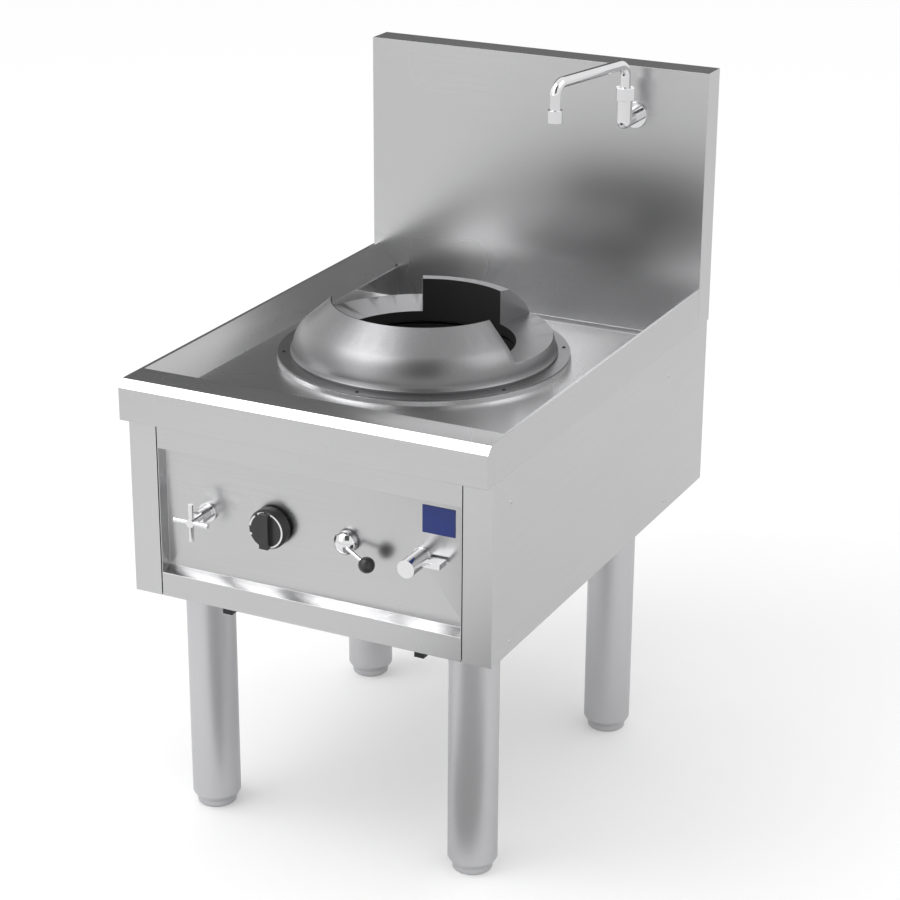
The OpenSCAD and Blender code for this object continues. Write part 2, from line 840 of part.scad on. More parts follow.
// A bridge over the air hole that carries the burner's stem
module burner_bracket() {
    bridge_w = 2 * gas_pipe_dia;
    bridge_half = head_dia / 2 + bridge_w;
    foot_len = bridge_w / 2;
    top_z = stem_bottom_z - gas_pipe_dia / 2;
    color(steel)
        translate([0, ring_cy, 0]) {
            block([-bridge_half, -bridge_w / 2, top_z - base_t], [bridge_half, bridge_w / 2, top_z]);
            for (side = [-1, 1]) {
                block([side > 0 ? bridge_half - base_t : -bridge_half, -bridge_w / 2, body_z + base_t],
                    [side > 0 ? bridge_half : base_t - bridge_half, bridge_w / 2, top_z - base_t]);
                block([side > 0 ? bridge_half : -bridge_half - foot_len, -bridge_w / 2, body_z + base_t],
                    [side > 0 ? bridge_half + foot_len : -bridge_half, bridge_w / 2, body_z + 2 * base_t]);
            }
        }
}

// The pilot stands on the bowl's floor beside the burner head
module pilot_burner() {
    pilot_dia = gas_pipe_dia / 2;
    pilot_x = (head_dia / 2 + bowl_r - bowl_wall) / 2;
    color("#8f8a7c")
        translate([pilot_x, ring_cy, head_z]) {
            cylinder(d = 2 * pilot_dia, h = base_t);
            translate([0, 0, base_t]) cylinder(d = pilot_dia, h = head_h);
        }
}

// A water valve with its bored neck through the panel and a nut in front
module valve_neck(x)
    difference() {
        union() {
            rod_y(x, panel_y - valve_nut_h, panel_y + sheet_t, control_z, neck_dia);
            rod_y(x, panel_y - valve_nut_h, panel_y, control_z, valve_nut_dia);
            rod_y(x, panel_y + sheet_t, valve_back_y, control_z, valve_body_dia);
        }
        rod_y(x, panel_y - valve_nut_h - over, panel_y + stem_in, control_z, stem_dia + 2 * run_gap);
    }

module gas_valve() {
    body_y1 = panel_y + sheet_t + valve_nut_h;
    color(brass) {
        difference() {
            union() {
                rod_y(knob_x, panel_y - bezel_t, body_y1, control_z, neck_dia);
                rod_y(knob_x, panel_y + sheet_t, body_y1, control_z, valve_nut_dia);
                block([knob_x - gas_valve_w / 2, body_y1, control_z - gas_valve_h / 2],
                    [knob_x + gas_valve_w / 2, body_y1 + valve_len, control_z + gas_valve_h / 2]);
            }
            rod_y(knob_x, panel_y - bezel_t - over, panel_y + stem_in + knob_press, control_z, stem_dia + 2 * run_gap);
        }
    }
}

// A pipe's threaded end under the base, below a nut
module inlet_end(x, y, dia)
    difference() {
        union() {
            rod_z(x, y, body_z - inlet_nut_h, body_z, dia + 2 * inlet_nut_wall);
            rod_z(x, y, body_z - inlet_nut_h - inlet_len, body_z - inlet_nut_h, dia - pipe_wall);
        }
        rod_z(x, y, body_z - inlet_nut_h - inlet_len - over, body_z - inlet_nut_h, dia - 4 * pipe_wall);
    }

// The supply runs from an inlet under the rear of the base, forward and up to the valve's side
module gas_supply_pipe() {
    x1 = knob_x + gas_valve_w / 2 + gas_pipe_dia;
    color(brass) {
        inlet_end(supply_x, inlet_y, gas_pipe_dia);
        rod_z(supply_x, inlet_y, body_z, supply_z, gas_pipe_dia);
        translate([supply_x, inlet_y, supply_z]) sphere(d = gas_pipe_dia);
        rod_y(supply_x, valve_mid_y, inlet_y, supply_z, gas_pipe_dia);
        translate([supply_x, valve_mid_y, supply_z]) sphere(d = gas_pipe_dia);
        rod_x(x1, supply_x, valve_mid_y, supply_z, gas_pipe_dia);
        translate([x1, valve_mid_y, supply_z]) sphere(d = gas_pipe_dia);
        rod_z(x1, valve_mid_y, supply_z, control_z, gas_pipe_dia);
        translate([x1, valve_mid_y, control_z]) sphere(d = gas_pipe_dia);
        rod_x(x1 - gas_pipe_dia, x1, valve_mid_y, control_z, gas_pipe_dia);
    }
}

// The burner pipe runs from the valve's foot down and back under the burner's stem
module burner_pipe() {
    tee_share = 1.5;
    z1 = stem_bottom_z + gas_pipe_dia / 2;
    y1 = valve_mid_y;
    color(brass) {
        rod_z(knob_x, y1, z1, control_z - gas_valve_h / 2, gas_pipe_dia);
        translate([knob_x, y1, z1]) sphere(d = gas_pipe_dia);
        rod_y(knob_x, y1, ring_cy, z1, gas_pipe_dia);
        translate([knob_x, ring_cy, z1]) sphere(d = gas_pipe_dia);
        rod_x(knob_x, 0, ring_cy, z1, gas_pipe_dia);
        rod_z(0, ring_cy, stem_bottom_z - gas_pipe_dia / 2, stem_bottom_z + gas_pipe_dia,
            gas_pipe_dia * tee_share);
    }
}

module knob_bezel() {
    color("#c9cacc")
        difference() {
            rod_y(knob_x, panel_y - bezel_t, panel_y, control_z, bezel_dia);
            rod_y(knob_x, panel_y - bezel_t - over, panel_y + over, control_z, neck_dia + 2 * run_gap);
        }
}

module gas_knob() {
    skirt_y = knob_back_y - knob_skirt_h;
    disc_y = knob_face_y + knob_grip_h;
    face_dia = knob_dia * knob_face_share;
    grip_half = knob_dia / 2 - knob_grip_w / 4;
    color("#1c1c1e")
        difference() {
            union() {
                rod_y(knob_x, skirt_y, knob_back_y, control_z, knob_dia);
                translate([knob_x, disc_y, control_z])
                    rotate([-90, 0, 0])
                        cylinder(d1 = face_dia, d2 = knob_dia, h = skirt_y - disc_y);
                intersection() {
                    rod_y(knob_x, knob_face_y, disc_y, control_z, face_dia);
                    block([knob_x - knob_grip_w / 2, knob_face_y, control_z - grip_half],
                        [knob_x + knob_grip_w / 2, disc_y, control_z + grip_half]);
                }
            }
            rod_y(knob_x, skirt_y - over, knob_back_y + over, control_z, stem_dia + 2 * run_gap);
        }
}

module gas_spindle() {
    color(steel)
        rod_y(knob_x, knob_back_y - knob_skirt_h - over, panel_y + stem_in - slip_gap, control_z, stem_dia);
}

module tap_valve() {
    color(steel)
        valve_neck(tap_x);
}

// A cross handle on its stem, with a body and a small cap in front
module tap_handle() {
    hub_y = panel_y - tap_reach;
    color(chrome) {
        rod_y(tap_x, hub_y, panel_y + stem_in - slip_gap, control_z, stem_dia);
        rod_y(tap_x, handle_y - tap_body_len, handle_y, control_z, tap_body_dia);
        rod_y(tap_x, hub_y - tap_arm_dia / 2, hub_y + tap_arm_dia / 2, control_z, tap_hub_dia);
        rod_x(tap_x - tap_span / 2, tap_x + tap_span / 2, hub_y, control_z, tap_arm_dia);
        rod_z(tap_x, hub_y, control_z - tap_span / 2, control_z + tap_span / 2, tap_arm_dia);
    }
}

module lever_valve() {
    color(steel)
        valve_neck(lever_x);
}

// The slanting axis of the lever, drawn out along X from the boss's middle
module lever_frame()
    translate([lever_x, lever_y, control_z]) rotate([0, lever_rest_deg, 0]) rotate([0, 0, -lever_lean_deg]) children();

// The half outline of the boss: a short cylinder under a shallow dome
module boss_outline() {
    dome_r = (boss_dia * boss_dia / 4 + boss_dome_h * boss_dome_h) / (2 * boss_dome_h);
    dome_deg = asin(boss_dia / 2 / dome_r);
    dome_steps = 8;
    polygon(concat(
        [[0, 0], [boss_dia / 2, 0]],
        [for (i = [dome_steps : -1 : 0])
            [dome_r * sin(dome_deg * i / dome_steps),
                boss_len + boss_dome_h - dome_r + dome_r * cos(dome_deg * i / dome_steps)]]));
}

// The lever's boss, its stem and its rod
module lever_handle() {
    color(chrome) {
        translate([lever_x, handle_y, control_z]) rotate([90, 0, 0]) rotate_extrude() boss_outline();
        rod_y(lever_x, handle_y, panel_y + stem_in - slip_gap, control_z, stem_dia);
        lever_frame() rotate([0, 90, 0]) cylinder(d = lever_rod_dia, h = lever_len - ball_dia / 4);
    }
}

module lever_ball() {
    color("#222326")
        lever_frame()
            difference() {
                translate([lever_len, 0, 0]) sphere(d = ball_dia);
                rotate([0, 90, 0]) cylinder(d = lever_rod_dia + 2 * run_gap, h = lever_len - ball_dia / 4);
            }
}

module wing_valve() {
    color(steel)
        valve_neck(wing_x);
}

// A long round knob with one flat wing
module wing_knob() {
    knob_y0 = panel_y - wing_knob_depth;
    color(chrome) {
        rod_y(wing_x, knob_y0, handle_y, control_z, wing_knob_dia);
        rod_y(wing_x, handle_y, panel_y + stem_in - slip_gap, control_z, stem_dia);
        translate([wing_x, handle_y - wing_width, control_z])
            block([0, 0, -wing_t / 2], [wing_len, wing_width, wing_t / 2]);
    }
}

// Water comes in under the rear left, and its rail runs behind the four valves
module water_pipe() {
    rail_y = valve_back_y + water_pipe_dia / 2;
    color(copper) {
        inlet_end(water_inlet_x, inlet_y, water_pipe_dia);
        rod_z(water_inlet_x, inlet_y, body_z, supply_z, water_pipe_dia);
        translate([water_inlet_x, inlet_y, supply_z]) sphere(d = water_pipe_dia);
        rod_y(water_inlet_x, rail_y, inlet_y, supply_z, water_pipe_dia);
        translate([water_inlet_x, rail_y, supply_z]) sphere(d = water_pipe_dia);
        rod_z(water_inlet_x, rail_y, supply_z, control_z, water_pipe_dia);
        translate([water_inlet_x, rail_y, control_z]) sphere(d = water_pipe_dia);
        rod_x(water_inlet_x, wing_x, rail_y, control_z, water_pipe_dia);
    }
}

// The spout's feed runs back from the winged valve and rises inside the backsplash
module spout_feed_pipe() {
    x1 = body_half - feed_side;
    elbow_dia = water_pipe_dia + 2 * pipe_wall;
    y1 = splash_y + sheet_t + water_pipe_dia;
    color(copper) {
        rod_x(wing_x + valve_body_dia / 2, x1, valve_mid_y, control_z, water_pipe_dia);
        translate([x1, valve_mid_y, control_z]) sphere(d = elbow_dia);
        rod_y(x1, valve_mid_y, y1, control_z, water_pipe_dia);
        translate([x1, y1, control_z]) sphere(d = elbow_dia);
        rod_z(x1, y1, control_z, swivel_base_z, water_pipe_dia);
        translate([x1, y1, swivel_base_z]) sphere(d = elbow_dia);
        rod_x(spout_x, x1, y1, swivel_base_z, water_pipe_dia);
    }
}

// The drain runs down to a nut under the base and ends in a narrower tail
module drain_pipe() {
    nut_z = body_z - drain_nut_h;
    tail_dia = drain_dia - pipe_wall;
    color(steel)
        difference() {
            union() {
                rod_z(drain_x, drain_y, body_z, gutter_z - sheet_t, drain_dia);
                rod_z(drain_x, drain_y, nut_z, body_z, drain_dia + 2 * inlet_nut_wall);
                rod_z(drain_x, drain_y, nut_z - drain_tail_len, nut_z, tail_dia);
            }
            rod_z(drain_x, drain_y, nut_z, gutter_z - sheet_t + over, drain_dia - 2 * pipe_wall);
            rod_z(drain_x, drain_y, nut_z - drain_tail_len - over, nut_z + over, drain_dia - 4 * pipe_wall);
        }
}

// Two small clips that hold a drip tray under the base
module underside_clips() {
    color(dark_iron)
        for (side = [-1, 1])
            translate([side * (body_half - clip_side) - clip_w / 2, body_y + clip_back, 0]) {
                block([0, 0, body_z - clip_drop], [clip_w, clip_t, body_z]);
                block([0, clip_t, body_z - clip_drop], [clip_w, clip_len, body_z - clip_drop + clip_t]);
            }
}

// The fixed elbow between the wall and the swivel
module spout_elbow() {
    color(chrome)
        difference() {
            union() {
                rod_z(spout_x, spout_cy, swivel_base_z, swivel_top_z, swivel_dia);
                translate([spout_x, spout_cy, swivel_base_z]) sphere(d = swivel_dia);
                rod_y(spout_x, spout_cy, splash_y - rosette_t, swivel_base_z, swivel_dia);
                rod_y(spout_x, splash_y - rosette_t, splash_y + sheet_t + water_pipe_dia / 2, swivel_base_z,
                    water_pipe_dia);
            }
            rod_z(spout_x, spout_cy, swivel_base_z, swivel_top_z + over, spout_dia + 2 * run_gap);
        }
}

module spout_rosette() {
    color(chrome)
        difference() {
            rod_y(spout_x, splash_y - rosette_t, splash_y, swivel_base_z, rosette_dia);
            rod_y(spout_x, splash_y - rosette_t - over, splash_y + over, swivel_base_z, water_pipe_dia + 2 * run_gap);
        }
}

module swivel_nut() {
    flats = 6;
    color(chrome)
        difference() {
            translate([spout_x, spout_cy, swivel_top_z]) cylinder(d = nut_dia, h = nut_h, $fn = flats);
            rod_z(spout_x, spout_cy, swivel_top_z - over, swivel_top_z + nut_h + over, spout_dia + 2 * run_gap);
        }
}

// A quarter bend in the X and Z plane, from straight up to straight along X
module bend(dia)
    rotate([90, 0, 0])
        rotate_extrude(angle = 90)
            translate([spout_bend_r, 0]) circle(d = dia);

// The swing spout's path, drawn out along X from its swivel
module spout_path(dia, tail) {
    translate([0, 0, -swivel_in - tail]) cylinder(d = dia, h = swivel_in + tail - spout_bend_r);
    translate([spout_bend_r, 0, -spout_bend_r]) mirror([1, 0, 0]) bend(dia);
    translate([spout_bend_r, 0, 0]) rotate([0, 90, 0]) cylinder(d = dia, h = arm_len - 2 * spout_bend_r);
    translate([arm_len - spout_bend_r, 0, -spout_bend_r]) bend(dia);
    translate([arm_len, 0, -nozzle_top_drop - tail]) cylinder(d = dia, h = nozzle_top_drop + tail - spout_bend_r);
}

module spout_frame()
    translate([spout_x, spout_cy, arm_z]) rotate(-90 - arm_rest_deg) children();

module spout_tube() {
    color(chrome)
        spout_frame()
            difference() {
                spout_path(spout_dia, 0);
                spout_path(spout_dia - 2 * spout_wall, over);
            }
}

module spout_nozzle() {
    color(chrome)
        spout_frame()
            translate([arm_len, 0, -nozzle_drop])
                difference() {
                    cylinder(d = nozzle_dia, h = nozzle_h);
                    translate([0, 0, -over]) cylinder(d = spout_dia - 2 * spout_wall, h = nozzle_h + 2 * over);
                    translate([0, 0, nozzle_h / 2]) cylinder(d = spout_dia + 2 * run_gap, h = nozzle_h);
                }
}

worktop();
rear_gutter();
gutter_cove();
gutter_strainer();
splash_front();
splash_shell();
side_panel(-1);  // side_panel_left
side_panel(1);  // side_panel_right
back_panel();
base_plate();
control_panel();
badge_plate();
side_screws();
leg_sockets();
leg(leg_places[0]);  // leg_front_left
leg(leg_places[1]);  // leg_front_right
leg(leg_places[2]);  // leg_rear_left
leg(leg_places[3]);  // leg_rear_right
leg_plugs();
foot(leg_places[0]);  // foot_front_left
foot(leg_places[1]);  // foot_front_right
foot(leg_places[2]);  // foot_rear_left
foot(leg_places[3]);  // foot_rear_right
burner_collar();
ring_flange();
flange_bolts();
wok_ring();
combustion_bowl();
bowl_floor();
bowl_rim();
burner_head();
burner_stem();
burner_bracket();
pilot_burner();
gas_valve();
gas_supply_pipe();
burner_pipe();
gas_knob();
gas_spindle();
knob_bezel();
tap_valve();
tap_handle();
lever_valve();
lever_handle();
lever_ball();
wing_valve();
wing_knob();
water_pipe();
spout_feed_pipe();
drain_pipe();
underside_clips();
spout_elbow();
spout_rosette();
swivel_nut();
spout_tube();
spout_nozzle();
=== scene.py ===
"""Dresses the CAD frame of a free-standing wok range for a studio picture."""

import json
import logging
import math
from dataclasses import dataclass
from enum import Enum
from typing import Iterable, Optional, Sequence

import bmesh
import bpy
from mathutils import Matrix, Vector


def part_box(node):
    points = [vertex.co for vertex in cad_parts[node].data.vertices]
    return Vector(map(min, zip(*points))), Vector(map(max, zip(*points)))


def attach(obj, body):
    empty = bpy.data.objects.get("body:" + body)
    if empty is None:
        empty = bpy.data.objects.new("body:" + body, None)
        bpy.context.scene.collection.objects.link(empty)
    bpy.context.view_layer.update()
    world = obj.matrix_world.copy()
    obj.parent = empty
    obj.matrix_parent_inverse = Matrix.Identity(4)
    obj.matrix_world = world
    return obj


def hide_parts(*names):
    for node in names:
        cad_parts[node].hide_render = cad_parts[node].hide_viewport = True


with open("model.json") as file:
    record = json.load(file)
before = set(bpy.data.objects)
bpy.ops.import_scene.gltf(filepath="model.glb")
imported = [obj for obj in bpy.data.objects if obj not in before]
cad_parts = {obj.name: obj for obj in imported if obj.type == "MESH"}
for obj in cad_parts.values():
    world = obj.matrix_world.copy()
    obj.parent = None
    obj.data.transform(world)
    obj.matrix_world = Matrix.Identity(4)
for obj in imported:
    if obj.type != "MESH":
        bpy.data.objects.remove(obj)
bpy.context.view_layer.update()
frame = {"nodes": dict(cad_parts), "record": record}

LOG = logging.getLogger("wok_range")
MM = 0.001
ROOT_BODY = "range"
WELD_DISTANCE = 0.001 * MM
FLAT_DEGREES = 0.3
SHARP_DEGREES = 32.0
RING_CENTRE_Y = -0.0195
BODY_OF = {node: body for body, nodes in frame["record"]["behaviour"]["bodies"].items() for node in nodes}

Colour = tuple[float, float, float]
Point = tuple[float, float, float]


class Grain(Enum):
    """Which way the brushing runs, as noise scales along X, Y and Z."""

    ALONG_X = (5.0, 420.0, 420.0)
    ALONG_Y = (420.0, 5.0, 420.0)
    ALONG_Z = (420.0, 420.0, 5.0)
    CAST = (260.0, 260.0, 260.0)
    PLAIN = (40.0, 40.0, 40.0)


class Side(Enum):
    """The two sides of the range."""

    LEFT = -1
    RIGHT = 1


# Shader groups

STREAK_DETAIL = 3.0
CLOUD_DETAIL = 2.0
GRAIN_DARKEST, GRAIN_LIGHTEST = 0.12, 0.42
RELIEF_DEPTH = 0.1 * MM
SOOT_NOISE_SCALE = 24.0
SOOT_NOISE_DETAIL = 5.0
SOOT_BARE_SHARE, SOOT_FULL_SHARE = 1.25, 0.75


def new_group(name: str, inputs: Sequence[tuple[str, str, object]],
              outputs: Sequence[tuple[str, str]]) -> bpy.types.NodeTree:
    """Makes an empty shader group with named sockets.

    Args:
        name: The group's name.
        inputs: Name, socket type and default value of each input.
        outputs: Name and socket type of each output.

    Returns:
        The group, with one input and one output node.
    """
    group = bpy.data.node_groups.new(name, "ShaderNodeTree")
    for label, kind, default in inputs:
        socket = group.interface.new_socket(label, in_out="INPUT", socket_type=kind)
        if default is not None:
            socket.default_value = default
    for label, kind in outputs:
        group.interface.new_socket(label, in_out="OUTPUT", socket_type=kind)
    group.nodes.new("NodeGroupInput").name = "in"
    group.nodes.new("NodeGroupOutput").name = "out"
    return group


def brushed_grain_group() -> bpy.types.NodeTree:
    """Builds the group that puts out fine streaks and broad cloudy patches.

    Returns:
        A group with the inputs Vector, Grain Scale and Cloud Scale and the outputs Streaks and Clouds.
    """
    group = new_group(
        "brushed_grain",
        [("Vector", "NodeSocketVector", None), ("Grain Scale", "NodeSocketVector", (5.0, 400.0, 400.0)),
         ("Cloud Scale", "NodeSocketFloat", 3.0)],
        [("Streaks", "NodeSocketFloat"), ("Clouds", "NodeSocketFloat")])
    nodes, links = group.nodes, group.links
    stretch = nodes.new("ShaderNodeVectorMath")
    stretch.operation = "MULTIPLY"
    links.new(nodes["in"].outputs["Vector"], stretch.inputs[0])
    links.new(nodes["in"].outputs["Grain Scale"], stretch.inputs[1])
    streaks = nodes.new("ShaderNodeTexNoise")
    streaks.inputs["Scale"].default_value = 1.0
    streaks.inputs["Detail"].default_value = STREAK_DETAIL
    links.new(stretch.outputs["Vector"], streaks.inputs["Vector"])
    clouds = nodes.new("ShaderNodeTexNoise")
    clouds.inputs["Detail"].default_value = CLOUD_DETAIL
    links.new(nodes["in"].outputs["Vector"], clouds.inputs["Vector"])
    links.new(nodes["in"].outputs["Cloud Scale"], clouds.inputs["Scale"])
    links.new(streaks.outputs["Fac"], nodes["out"].inputs["Streaks"])
    links.new(clouds.outputs["Fac"], nodes["out"].inputs["Clouds"])
    return group


def heat_stain_group() -> bpy.types.NodeTree:
    """Builds the group that puts out a soot mask, strongest near the flame and broken up by noise.

    Returns:
        A group with the inputs Vector, Centre, Reach and Break Up and the output Soot.
    """
    group = new_group(
        "heat_stain",
        [("Vector", "NodeSocketVector", None), ("Centre", "NodeSocketVector", (0.0, 0.0, 0.0)),
         ("Reach", "NodeSocketFloat", 0.2), ("Break Up", "NodeSocketFloat", 0.3)],
        [("Soot", "NodeSocketFloat")])
    nodes, links = group.nodes, group.links
    distance = nodes.new("ShaderNodeVectorMath")
    distance.operation = "DISTANCE"
    links.new(nodes["in"].outputs["Vector"], distance.inputs[0])
    links.new(nodes["in"].outputs["Centre"], distance.inputs[1])
    share = nodes.new("ShaderNodeMath")
    share.operation = "DIVIDE"
    links.new(distance.outputs["Value"], share.inputs[0])
    links.new(nodes["in"].outputs["Reach"], share.inputs[1])
    noise = nodes.new("ShaderNodeTexNoise")
    noise.inputs["Scale"].default_value = SOOT_NOISE_SCALE
    noise.inputs["Detail"].default_value = SOOT_NOISE_DETAIL
    links.new(nodes["in"].outputs["Vector"], noise.inputs["Vector"])
    broken = nodes.new("ShaderNodeMath")
    broken.operation = "MULTIPLY_ADD"
    links.new(noise.outputs["Fac"], broken.inputs[0])
    links.new(nodes["in"].outputs["Break Up"], broken.inputs[1])
    links.new(share.outputs["Value"], broken.inputs[2])
    fade = nodes.new("ShaderNodeMapRange")
    fade.interpolation_type = "SMOOTHSTEP"
    fade.inputs["From Min"].default_value = SOOT_BARE_SHARE
    fade.inputs["From Max"].default_value = SOOT_FULL_SHARE
    links.new(broken.outputs["Value"], fade.inputs["Value"])
    links.new(fade.outputs["Result"], nodes["out"].inputs["Soot"])
    return group


@dataclass(frozen=True)
class Soot:
    """Where heat darkens a finish."""

    centre: Point
    reach: float
    colour: Colour


@dataclass(frozen=True)
class Finish:
    """One surface finish: a colour that a grain and broad clouds vary a little."""

    name: str
    colour: Colour
    metallic: float = 1.0
    roughness: tuple[float, float] = (0.3, 0.36)
    grain: Grain = Grain.ALONG_X
    shade: float = 0.12
    relief: float = 0.0
    cloud_scale: float = 3.0
    coat: float = 0.0
    soot: Optional[Soot] = None

    def material(self) -> bpy.types.Material:
        """Returns the finish's material, which is built on first use."""
        return bpy.data.materials.get(self.name) or self._build()

    def _build(self) -> bpy.types.Material:
        """Builds the material's nodes.

        Returns:
            The new material.
        """
        made = bpy.data.materials.new(self.name)
        made.use_nodes = True
        nodes, links = made.node_tree.nodes, made.node_tree.links
        shader = nodes["Principled BSDF"]
        shader.inputs["Metallic"].default_value = self.metallic
        shader.inputs["Coat Weight"].default_value = self.coat
        place = nodes.new("ShaderNodeTexCoord")
        grain = nodes.new("ShaderNodeGroup")
        grain.node_tree = bpy.data.node_groups["brushed_grain"]
        grain.inputs["Grain Scale"].default_value = self.grain.value
        grain.inputs["Cloud Scale"].default_value = self.cloud_scale
        links.new(place.outputs["Object"], grain.inputs["Vector"])
        both = nodes.new("ShaderNodeMath")
        both.operation = "MULTIPLY"
        links.new(grain.outputs["Streaks"], both.inputs[0])
        links.new(grain.outputs["Clouds"], both.inputs[1])
        spread = nodes.new("ShaderNodeMapRange")
        spread.inputs["From Min"].default_value = GRAIN_DARKEST
        spread.inputs["From Max"].default_value = GRAIN_LIGHTEST
        links.new(both.outputs["Value"], spread.inputs["Value"])
        tint = nodes.new("ShaderNodeMix")
        tint.data_type = "RGBA"
        tint.inputs["A"].default_value = (*[c * (1.0 - self.shade) for c in self.colour], 1.0)
        tint.inputs["B"].default_value = (*self.colour, 1.0)
        links.new(spread.outputs["Result"], tint.inputs["Factor"])
        colour_out = tint.outputs["Result"]
        if self.soot:
            colour_out = self._darkened(made, place, colour_out, self.soot)
        links.new(colour_out, shader.inputs["Base Color"])
        rough = nodes.new("ShaderNodeMapRange")
        rough.inputs["To Min"].default_value = self.roughness[0]
        rough.inputs["To Max"].default_value = self.roughness[1]
        links.new(grain.outputs["Clouds"], rough.inputs["Value"])
        links.new(rough.outputs["Result"], shader.inputs["Roughness"])
        if self.relief:
            bump = nodes.new("ShaderNodeBump")
            bump.inputs["Strength"].default_value = self.relief
            bump.inputs["Distance"].default_value = RELIEF_DEPTH
            links.new(grain.outputs["Streaks"], bump.inputs["Height"])
            links.new(bump.outputs["Normal"], shader.inputs["Normal"])
        return made

    @staticmethod
    def _darkened(made: bpy.types.Material, place: bpy.types.Node, colour_out: bpy.types.NodeSocket,
                  soot: Soot) -> bpy.types.NodeSocket:
        """Mixes soot over a colour.

        Args:
            made: The material that is being built.
            place: Its texture coordinate node.
            colour_out: The socket that gives the clean colour.
            soot: Where the soot lies and its colour.

        Returns:
            The socket that gives the stained colour.
        """
        nodes, links = made.node_tree.nodes, made.node_tree.links
        stain = nodes.new("ShaderNodeGroup")
        stain.node_tree = bpy.data.node_groups["heat_stain"]
        stain.inputs["Centre"].default_value = soot.centre
        stain.inputs["Reach"].default_value = soot.reach
        links.new(place.outputs["Object"], stain.inputs["Vector"])
        mixed = nodes.new("ShaderNodeMix")
        mixed.data_type = "RGBA"
        mixed.inputs["B"].default_value = (*soot.colour, 1.0)
        links.new(stain.outputs["Soot"], mixed.inputs["Factor"])
        links.new(colour_out, mixed.inputs["A"])
        return mixed.outputs["Result"]


# Mesh helpers


def publish(mesh: bpy.types.Mesh, name: str, body: str, finish: Finish,
            replaced: Iterable[str] = ()) -> bpy.types.Object:
    """Puts a mesh into the scene as a piece of the range.

    Args:
        mesh: The piece's mesh, in the frame's own coordinates.
        name: The piece's name.
        body: The CAD body that the piece rides on.
        finish: The piece's finish.
        replaced: The CAD nodes that the piece stands for.

    Returns:
        The new object.
    """
    piece = bpy.data.objects.new(name, mesh)
    bpy.context.scene.collection.objects.link(piece)
    mesh.materials.clear()
    mesh.materials.append(finish.material())
    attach(piece, body)
    if replaced:
        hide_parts(*replaced)
    LOG.info("%s rides on %s", name, body)
    return piece


def shade_by_angle(mesh: bpy.types.Mesh) -> None:
    """Smooths a mesh's shading apart from its sharp edges."""
    mesh.shade_smooth()
    mesh.set_sharp_from_angle(angle=math.radians(SHARP_DEGREES))


def softened(node: str, finish: Finish, width: float, segments: int = 2) -> bpy.types.Object:
    """Stands a copy of a CAD node with rounded edges in for it.

    Args:
        node: The CAD node.
        finish: The copy's finish.
        width: The width of the rounded edges.
        segments: The steps across each rounded edge.

    Returns:
        The new piece.
    """
    work = bmesh.new()
    work.from_mesh(frame["nodes"][node].data)
    bmesh.ops.remove_doubles(work, verts=work.verts, dist=WELD_DISTANCE)
    bmesh.ops.dissolve_limit(work, angle_limit=math.radians(FLAT_DEGREES), verts=work.verts,
                             edges=work.edges)
    mesh = bpy.data.meshes.new(node + "_dressed")
    work.to_mesh(mesh)
    work.free()
    shade_by_angle(mesh)
    piece = publish(mesh, node + "_dressed", BODY_OF[node], finish, [node])
    rounding = piece.modifiers.new("rounded_edges", "BEVEL")
    rounding.width = width
    rounding.segments = segments
    rounding.limit_method = "ANGLE"
    rounding.angle_limit = math.radians(SHARP_DEGREES)
    rounding.harden_normals = True
    rounding.use_clamp_overlap = True
    return piece


def coat_node(node: str, finish: Finish) -> None:
    """Gives a CAD node its finish."""
    mesh = frame["nodes"][node].data
    mesh.materials.clear()
    mesh.materials.append(finish.material())


def turned(outline: Sequence[tuple[float, float]], steps: int) -> bmesh.types.BMesh:
    """Turns an outline round Z into a closed solid.

    Args:
        outline: Radius and height of each corner, from one end on the axis to the other.
        steps: The number of steps round the axis.

    Returns:
        The solid, which the caller frees.
    """
    work = bmesh.new()
    rings: list[list[bmesh.types.BMVert]] = []
    for radius, height in outline:
        if radius == 0:
            rings.append([work.verts.new((0.0, 0.0, height))])
        else:
            rings.append([
                work.verts.new((radius * math.cos(a), radius * math.sin(a), height))
                for a in (2.0 * math.pi * i / steps for i in range(steps))])
    for low, high in zip(rings, rings[1:]):
        for i in range(steps):
            j = (i + 1) % steps
            corners = [low[i % len(low)], low[j % len(low)], high[j % len(high)], high[i % len(high)]]
            work.faces.new(list(dict.fromkeys(corners)))
    bmesh.ops.recalc_face_normals(work, faces=work.faces)
    return work


def arc_strip(radius: float, width: float, from_deg: float, to_deg: float, thick: float,
              steps: int = 40) -> bmesh.types.BMesh:
    """Makes a thin flat strip along an arc in the XZ plane, raised towards -Y.

    Args:
        radius: The arc's middle radius.
        width: The strip's width.
        from_deg: Where it starts, clockwise from straight up as seen from the front.
        to_deg: Where it ends.
        thick: How far it stands out.
        steps: The number of steps along it.

    Returns:
        The closed strip, which the caller frees.
    """
    work = bmesh.new()
    sections: list[list[bmesh.types.BMVert]] = []
    for i in range(steps + 1):
        angle = math.radians(from_deg + (to_deg - from_deg) * i / steps)
        across = Vector((math.sin(angle), 0.0, math.cos(angle)))
        corners = [(radius - width / 2, 0.0), (radius + width / 2, 0.0),
                   (radius + width / 2, -thick), (radius - width / 2, -thick)]
        sections.append([work.verts.new(across * r + Vector((0.0, y, 0.0))) for r, y in corners])
    for low, high in zip(sections, sections[1:]):
        for i in range(len(low)):
            j = (i + 1) % len(low)
            work.faces.new((low[i], low[j], high[j], high[i]))
    work.faces.new(sections[0])
    work.faces.new(sections[-1])
    bmesh.ops.recalc_face_normals(work, faces=work.faces)
    return work


def mesh_of(work: bmesh.types.BMesh, name: str) -> bpy.types.Mesh:
    """Turns a bmesh into a mesh and frees it."""
    mesh = bpy.data.meshes.new(name)
    work.to_mesh(mesh)
    work.free()
    shade_by_angle(mesh)
    return mesh


# Geometry node trees


